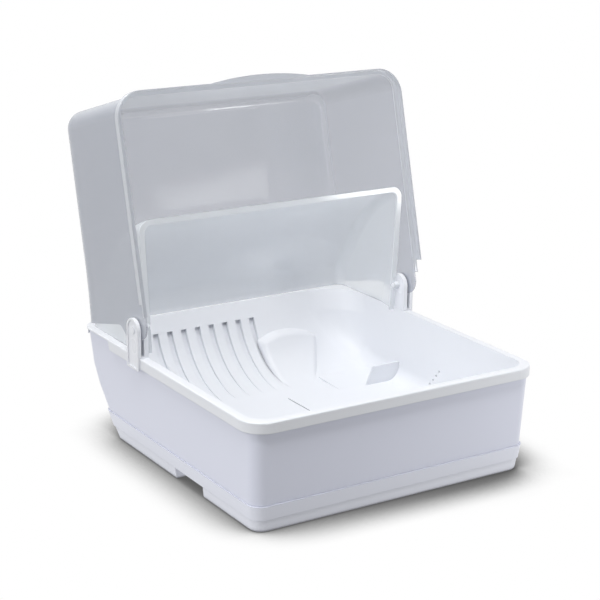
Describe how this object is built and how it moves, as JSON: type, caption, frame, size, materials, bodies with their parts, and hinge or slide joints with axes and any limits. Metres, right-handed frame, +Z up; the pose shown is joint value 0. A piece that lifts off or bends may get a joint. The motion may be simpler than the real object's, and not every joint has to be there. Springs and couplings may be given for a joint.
{
  "type": "covered dish rack",
  "caption": "Covered dish drainer: white tray with plate slots on a deep bin, clear fixed rear cover and clear front cover hinged to swing open.",
  "frame": {"origin": "on the table, under the middle of the box round the whole rack with the front cover open", "axes": "+Y from the front of the tray to the back, +X to the right seen from the front, +Z up"},
  "size_m": [0.458, 0.5404, 0.5114],
  "materials": {
    "base": "satin white",
    "tray": "satin white",
    "bracket": "satin white",
    "pin": "satin white",
    "rear_clear": "clear, slightly milky",
    "front_clear": "clear, slightly milky"
  },
  "bodies": {
    "base": {"base_bin": "base"},
    "drainer": {"drainer_tray": "tray", "left_hinge_bracket": "bracket", "right_hinge_bracket": "bracket", "left_hinge_pin": "pin", "right_hinge_pin": "pin", "rear_cover": "rear_clear"},
    "cover": {"front_cover": "front_clear"}
  },
  "joints": [
    {"name": "drainer_lift", "type": "slide", "parent": "base", "child": "drainer", "axis": [0, 0, 1], "range_m": [0, 0.15]},
    {"name": "cover_hinge", "type": "hinge", "parent": "drainer", "child": "cover", "pos_m": [0, 0.0428, 0.188], "axis": [1, 0, 0], "range_deg": [0, 104.4]}
  ]
}
